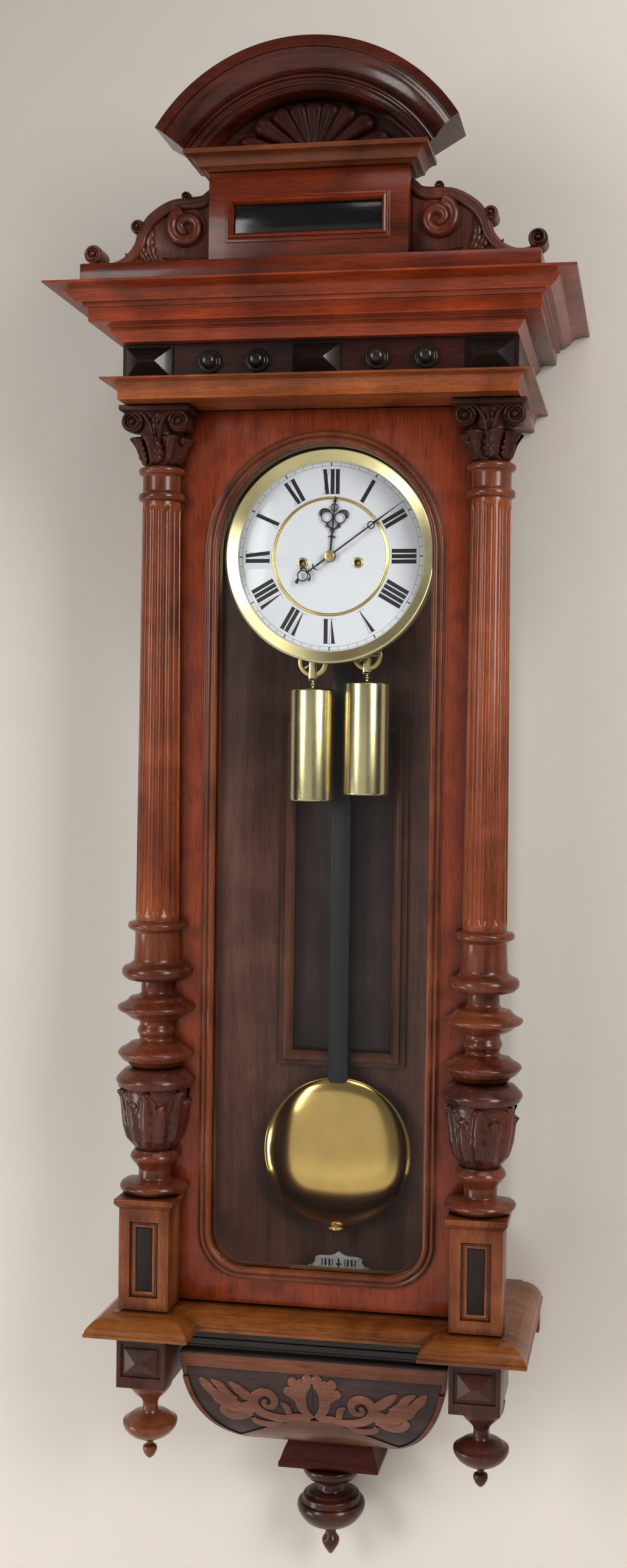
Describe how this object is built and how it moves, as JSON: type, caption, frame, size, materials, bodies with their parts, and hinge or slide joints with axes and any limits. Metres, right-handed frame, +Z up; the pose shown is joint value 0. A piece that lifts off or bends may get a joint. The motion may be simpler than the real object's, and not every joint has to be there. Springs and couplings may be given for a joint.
{
  "type": "vienna regulator clock",
  "caption": "Weight-driven wall clock in a tall glazed case with arched crest, half columns, enamel dial, lenticular pendulum and turned drop finials.",
  "frame": {"origin": "point of the wall plane straight behind the dial's centre, on the back board's rear face", "axes": "+X to the right seen from the front, +Y into the wall, +Z up"},
  "size_m": [0.471, 0.2375, 1.4151],
  "materials": {
    "walnut": "polished",
    "dark_walnut": "polished",
    "ebonised": "polished",
    "honey_walnut": "polished",
    "brass": "polished",
    "steel": "satin",
    "silvered": "satin",
    "enamel": "gloss",
    "black_metal": "gloss",
    "glass": "clear",
    "gut": "natural"
  },
  "bodies": {
    "case": {"back_board": "ebonised", "side_frame_right": "walnut", "side_frame_left": "walnut", "side_glass_right": "glass", "side_glass_left": "glass", "lower_cornice": "walnut", "frieze": "dark_walnut", "main_cornice": "walnut", "crest_rail": "walnut", "crest_tablet": "walnut", "crest_scroll_right": "dark_walnut", "crest_scroll_left": "dark_walnut", "crest_cornice": "walnut", "crest_arch": "dark_walnut", "crest_shell": "dark_walnut", "base_moulding": "honey_walnut", "drop_block_right": "walnut", "drop_block_left": "walnut", "drop_finial_right": "walnut", "drop_finial_left": "honey_walnut", "apron": "walnut", "apron_cap": "walnut", "centre_finial": "walnut", "hinge_upper": "brass", "hinge_lower": "brass", "seat_board": "walnut", "movement_frame": "brass", "dial": "enamel", "bezel": "brass", "gut_line_left": "gut", "gut_top_left": "gut", "gut_line_right": "gut", "gut_top_right": "gut", "pendulum_cock": "brass", "beat_plate": "silvered", "gong": "steel"},
    "door": {"door_frame": "walnut", "door_glass": "glass", "latch_pin": "brass", "column_right": "walnut", "column_left": "walnut", "capital_right": "dark_walnut", "capital_left": "dark_walnut", "pedestal_right": "walnut", "pedestal_left": "walnut"},
    "pendulum": {"pendulum_rod": "ebonised", "pendulum_bob": "brass"},
    "latch_hook": {"latch_hook": "brass"},
    "hour_hand": {"hour_hand": "black_metal"},
    "minute_hand": {"minute_hand": "black_metal"},
    "weight_left": {"weight_left": "brass"},
    "weight_right": {"weight_right": "brass"},
    "pulley_left": {"pulley_left": "brass"},
    "pulley_right": {"pulley_right": "brass"},
    "drum_left": {"drum_left": "brass"},
    "drum_right": {"drum_right": "brass"},
    "escape_wheel": {"escape_wheel": "brass"},
    "anchor": {"anchor": "steel"},
    "hammer": {"hammer": "steel"},
    "rating_nut": {"rating_nut": "brass"}
  },
  "joints": [
    {"name": "door_swing", "type": "hinge", "parent": "case", "child": "door", "pos_m": [-0.1584, -0.107, -0.287], "axis": [0, 0, -1], "range_deg": [0, 110]},
    {"name": "latch_hook_turn", "type": "hinge", "parent": "case", "child": "latch_hook", "pos_m": [0.152, -0.0925, -0.29], "axis": [1, 0, 0], "range_deg": [0, 24]},
    {"name": "minute_hand_turn", "type": "hinge", "parent": "case", "child": "minute_hand", "pos_m": [0, -0.107, 0], "axis": [0, 1, 0], "continuous": true},
    {"name": "hour_hand_turn", "type": "hinge", "parent": "case", "child": "hour_hand", "pos_m": [0, -0.104, 0], "axis": [0, 1, 0], "continuous": true},
    {"name": "pendulum_swing", "type": "hinge", "parent": "case", "child": "pendulum", "pos_m": [0, -0.03, 0.06], "axis": [0, 1, 0], "range_deg": [-2.5, 2.5]},
    {"name": "anchor_rock", "type": "hinge", "parent": "case", "child": "anchor", "pos_m": [0, -0.076, 0.06], "axis": [0, 1, 0], "range_deg": [-2.5, 2.5]},
    {"name": "escape_wheel_turn", "type": "hinge", "parent": "case", "child": "escape_wheel", "pos_m": [0, -0.076, 0.026], "axis": [0, 1, 0], "continuous": true},
    {"name": "rating_nut_turn", "type": "hinge", "parent": "pendulum", "child": "rating_nut", "pos_m": [0, -0.03, -0.6613], "axis": [0, 0, 1], "continuous": true},
    {"name": "hammer_strike", "type": "hinge", "parent": "case", "child": "hammer", "pos_m": [-0.04, -0.048, -0.02], "axis": [0, 1, 0], "range_deg": [0, 12], "stiffness_Nm_per_rad": 0.03},
    {"name": "weight_left_fall", "type": "slide", "parent": "case", "child": "weight_left", "axis": [0, 0, -1], "range_m": [0, 0.45], "deforming": ["gut_line_left"]},
    {"name": "pulley_left_turn", "type": "hinge", "parent": "weight_left", "child": "pulley_left", "pos_m": [-0.0226, -0.068, -0.098], "axis": [0, 1, 0], "range_deg": [-5, 1990]},
    {"name": "drum_left_turn", "type": "hinge", "parent": "case", "child": "drum_left", "pos_m": [-0.0266, -0.068, -0.006], "axis": [0, 1, 0], "range_deg": [-5, 3040]},
    {"name": "weight_right_fall", "type": "slide", "parent": "case", "child": "weight_right", "axis": [0, 0, -1], "range_m": [0, 0.45], "deforming": ["gut_line_right"]},
    {"name": "pulley_right_turn", "type": "hinge", "parent": "weight_right", "child": "pulley_right", "pos_m": [0.0306, -0.068, -0.0913], "axis": [0, 1, 0], "range_deg": [-5, 1990]},
    {"name": "drum_right_turn", "type": "hinge", "parent": "case", "child": "drum_right", "pos_m": [0.0266, -0.068, -0.006], "axis": [0, 1, 0], "range_deg": [-5, 3040]}
  ],
  "couplings": [
    {"joint": "hour_hand_turn", "follows": "minute_hand_turn", "ratio": 0.083333},
    {"joint": "anchor_rock", "follows": "pendulum_swing", "ratio": 1},
    {"joint": "pulley_left_turn", "follows": "weight_left_fall", "rad_per_m": 76.923},
    {"joint": "drum_left_turn", "follows": "weight_left_fall", "rad_per_m": 117.65},
    {"joint": "pulley_right_turn", "follows": "weight_right_fall", "rad_per_m": 76.923},
    {"joint": "drum_right_turn", "follows": "weight_right_fall", "rad_per_m": 117.65}
  ]
}
